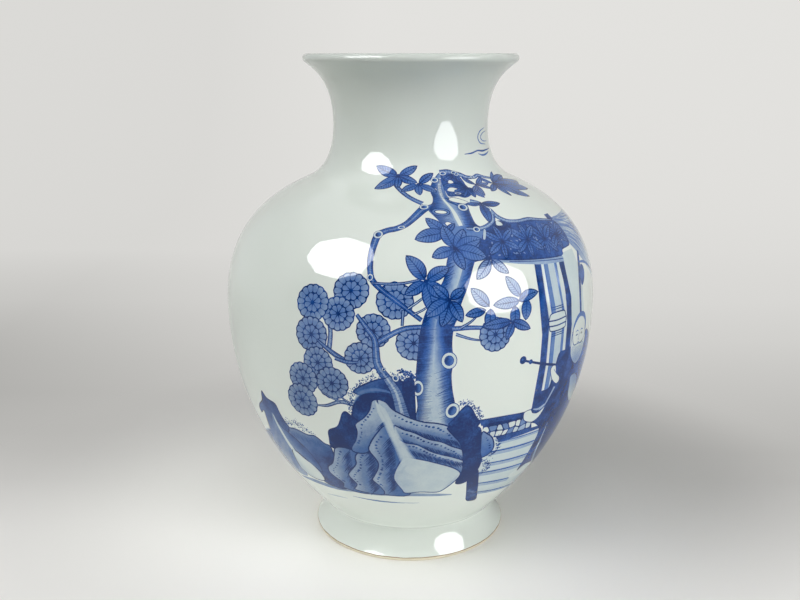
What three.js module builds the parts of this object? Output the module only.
// A porcelain vase of zun form: trumpet mouth, waisted neck, full shoulder and a low splayed foot.
// It is thrown in four sections on the wheel, which are then luted together with slip:
// foot ring, lower body with the floor, upper body with the shoulder, and neck with the mouth.
// Every section is a turned ring, so each solid is a lathe of its own half section.
// Units are millimetres, +Z is up and the origin is the centre of the foot's resting face.
import * as THREE from "three";

// Driving dimensions
const HEIGHT = 300; // foot to lip
const BELLY_RADIUS = 113.6; // widest point
const BELLY_Z = 153.5;
const NECK_RADIUS = 46.5; // narrowest point
const NECK_Z = 259.5;
const LIP_RADIUS = 64; // over the rolled lip
const FOOT_RADIUS = 61.6; // over the splayed foot
const FOOT_JOINT_RADIUS = 53; // waist of the foot, tucked under the body
const FOOT_JOINT_Z = 18.6;
const WALL_START = [59.3, 23]; // radius and height where the body's underside turns up into its wall
const BELLY_WALL = 4.6; // wall at the widest point
const NECK_WALL = 4.3;
const SIDES = 60; // flats round each ring

// Luting joints, as horizontal faces with a layer of slip between them
const WAIST_JOINT_Z = BELLY_Z;
const NECK_JOINT_Z = 240;
const SLIP = 0.75; // thickness of the slip in a joint
const RIDGE = 1.4; // how far squeezed-out slip stands proud inside

// Lip and foot details
const LIP_ROLL = 2.65; // radius of the rolled lip
const LIP_ROLL_START = -50; // degrees, where the roll leaves the underside of the mouth
const CONTACT_INNER = 56.4; // bare biscuit ring that the vase stands on
const CONTACT_OUTER = 60.5;
const BEVEL_HEIGHT = 2.2; // bare edge below the glaze
const FOOT_BORE = 47.8; // inside of the foot ring at its joint
const FOOT_MOUTH = 55.4; // inside of the foot ring just above the contact
const FLOOR_BOTTOM_Z = 16.5; // glazed base inside the foot
const FLOOR_TOP_Z = 25.5;
const FLOOR_FLAT_RADIUS = 40; // inside, where the floor turns up into the wall
const BOSS_RADIUS = 47.2; // the floor's step that locates the foot ring
const BOSS_ROUND = 1.2;

const material = (color, roughness) => new THREE.MeshStandardMaterial({ color, roughness, metalness: 0 });
const glazed = material(0xdde3df, 0.12);
const slip = material(0xe6e2d8, 0.5);

const point = (radius, z) => new THREE.Vector2(radius, z);

// Points of a cubic curve in the half section, from its start to its end.
function curve(steps, ...corners) {
  return new THREE.CubicBezierCurve(...corners).getPoints(steps);
}

// Points of a circular arc in the half section, angles in degrees.
function arc(steps, centre, radius, from, to) {
  const points = [];
  for (let i = 0; i <= steps; i += 1) {
    const angle = THREE.MathUtils.degToRad(from + ((to - from) * i) / steps);
    points.push(point(centre.x + radius * Math.cos(angle), centre.y + radius * Math.sin(angle)));
  }
  return points;
}

// Joins stretches of a half section end to end, dropping the points that two of them share.
function join(...stretches) {
  const all = stretches.flat();
  return all.filter((p, i) => i === 0 || p.distanceTo(all[i - 1]) > 1e-4);
}

// The part of a rising half section between two heights, cut exactly there.
function between(points, low, high) {
  const cut = (z) => {
    const i = points.findIndex((p) => p.y >= z - 1e-9);
    const [a, b] = i > 0 ? [points[i - 1], points[i]] : [points[0], points[0]];
    const share = b.y === a.y ? 0 : (z - a.y) / (b.y - a.y);
    return point(a.x + (b.x - a.x) * share, z);
  };
  const inside = points.filter((p) => p.y > low + 0.3 && p.y < high - 0.3);
  return [cut(low), ...inside, cut(high)];
}

// Outside of the vase from the foot joint to the lip, rising.
function outerSection() {
  const lipCentre = point(LIP_RADIUS - LIP_ROLL, HEIGHT - LIP_ROLL);
  const roll = arc(5, lipCentre, LIP_ROLL, LIP_ROLL_START, 90);
  const shoulderEnd = point(60.8, 228.5);
  const underside = curve(
    5,
    point(FOOT_JOINT_RADIUS, FOOT_JOINT_Z),
    point(57.4, FOOT_JOINT_Z),
    point(57.8, 21.2),
    point(...WALL_START),
  );
  const belly = curve(
    11,
    point(...WALL_START),
    point(74.7, 39.4),
    point(BELLY_RADIUS, 82.1),
    point(BELLY_RADIUS, BELLY_Z),
  );
  const shoulder = curve(
    11,
    point(BELLY_RADIUS, BELLY_Z),
    point(BELLY_RADIUS, 209),
    point(72.5, 222.7),
    shoulderEnd,
  );
  const neckRoot = curve(5, shoulderEnd, point(57.3, 230.2), point(NECK_RADIUS, 236.9), point(NECK_RADIUS, NECK_Z));
  const mouth = curve(6, point(NECK_RADIUS, NECK_Z), point(NECK_RADIUS, 285.6), point(58.3, 291.3), roll[0]);
  return { body: join(underside, belly, shoulder, neckRoot, mouth), roll };
}

// Inside of the vase from the floor to the lip, rising.
function innerSection() {
  const bellyInside = BELLY_RADIUS - BELLY_WALL;
  const neckInside = NECK_RADIUS - NECK_WALL;
  const shoulderEnd = point(58.2, 224.6);
  const bowl = curve(
    9,
    point(FLOOR_FLAT_RADIUS, FLOOR_TOP_Z),
    point(70, 28.5),
    point(bellyInside, 88),
    point(bellyInside, BELLY_Z),
  );
  const shoulder = curve(
    8,
    point(bellyInside, BELLY_Z),
    point(bellyInside, 204.8),
    point(70, 218.8),
    shoulderEnd,
  );
  const neckRoot = curve(4, shoulderEnd, point(53.6, 226.8), point(neckInside, 237.5), point(neckInside, NECK_Z));
  const mouth = curve(
    6,
    point(neckInside, NECK_Z),
    point(neckInside, 284.5),
    point(52, HEIGHT),
    point(LIP_RADIUS - LIP_ROLL, HEIGHT),
  );
  return join(bowl, shoulder, neckRoot, mouth);
}

// Turns a half section into a solid ring, or a solid disc where it starts and ends on the axis.
function turned(name, halfSection, finish) {
  const onAxis = halfSection[0].x === 0;
  const profile = onAxis ? halfSection : [...halfSection, halfSection[0].clone()];
  const geometry = new THREE.LatheGeometry(profile, SIDES);
  geometry.rotateX(Math.PI / 2);
  const mesh = new THREE.Mesh(geometry, finish);
  mesh.name = name;
  return mesh;
}

// A ring whose outside and inside both rise between two joints.
function wallRing(name, outside, inside, low, high, finish) {
  const outer = between(outside, low, high);
  const inner = between(inside, low, high);
  return turned(name, [...outer, ...inner.reverse()], finish);
}

// The neck rises from its joint, rolls over at the lip and comes down inside.
function neck(outside, inside) {
  const outer = between(outside.body, NECK_JOINT_Z, HEIGHT - LIP_ROLL - 1);
  const beforeRoll = outer.slice(0, -1).filter((p) => p.y < outside.roll[0].y - 0.3);
  const inner = between(inside, NECK_JOINT_Z, HEIGHT).slice(0, -1);
  return turned("neck", [...beforeRoll, ...outside.roll, ...inner.reverse()], glazed);
}

// The lower body holds the floor, whose underside steps down into the foot ring.
function lowerBody(outside, inside) {
  const outer = between(outside.body, FOOT_JOINT_Z, WAIST_JOINT_Z - SLIP);
  const inner = between(inside, FLOOR_TOP_Z, WAIST_JOINT_Z - SLIP);
  const base = [
    point(0, FLOOR_BOTTOM_Z),
    point(BOSS_RADIUS - BOSS_ROUND, FLOOR_BOTTOM_Z),
    point(BOSS_RADIUS, FLOOR_BOTTOM_Z + BOSS_ROUND),
    point(BOSS_RADIUS, FOOT_JOINT_Z),
  ];
  return turned("lower_body", [...base, ...outer, ...inner.reverse(), point(0, FLOOR_TOP_Z)], glazed);
}

// The foot flares like a low trumpet to its bare contact ring, bevelled on both edges.
function footRing() {
  const top = FOOT_JOINT_Z - SLIP;
  const outer = curve(
    7,
    point(FOOT_RADIUS, BEVEL_HEIGHT),
    point(58.2, 6),
    point(54.3, 12),
    point(FOOT_JOINT_RADIUS, top),
  );
  const innerWall = curve(5, point(FOOT_BORE, top), point(FOOT_BORE, 12), point(51.5, 6.5), point(FOOT_MOUTH, BEVEL_HEIGHT));
  const contact = [point(CONTACT_INNER, 0), point(CONTACT_OUTER, 0)];
  return turned("foot_ring", [...outer, ...innerWall, ...contact], glazed);
}

// Slip that fills a joint, with the ridge that squeezes out on the inside of the wall.
function lute(name, outerRadius, innerRadius, top, ridge) {
  const low = top - SLIP;
  const nose = innerRadius - ridge;
  const rounded = [
    point(innerRadius, top),
    point(nose + ridge * 0.3, top - SLIP * 0.08),
    point(nose, top - SLIP / 2),
    point(nose + ridge * 0.3, low + SLIP * 0.08),
    point(innerRadius, low),
  ];
  const inner = ridge > 0 ? rounded : [point(innerRadius, top), point(innerRadius, low)];
  return turned(name, [point(outerRadius, low), point(outerRadius, top), ...inner], slip);
}

// Radius of a rising half section at one height.
function radiusAt(points, z) {
  return between(points, z, z + 1)[0].x;
}

function vase() {
  const outside = outerSection();
  const inside = innerSection();
  const group = new THREE.Group();
  group.add(footRing());
  group.add(lute("foot_lute", FOOT_JOINT_RADIUS, FOOT_BORE, FOOT_JOINT_Z, 0));
  group.add(lowerBody(outside, inside));
  group.add(lute("waist_lute", BELLY_RADIUS, BELLY_RADIUS - BELLY_WALL, WAIST_JOINT_Z, RIDGE));
  group.add(wallRing("upper_body", outside.body, inside, WAIST_JOINT_Z, NECK_JOINT_Z - SLIP, glazed));
  const neckOuter = radiusAt(outside.body, NECK_JOINT_Z - SLIP);
  const neckInner = radiusAt(inside, NECK_JOINT_Z - SLIP);
  group.add(lute("neck_lute", neckOuter, neckInner, NECK_JOINT_Z, RIDGE));
  group.add(neck(outside, inside));
  return group;
}

export default vase();
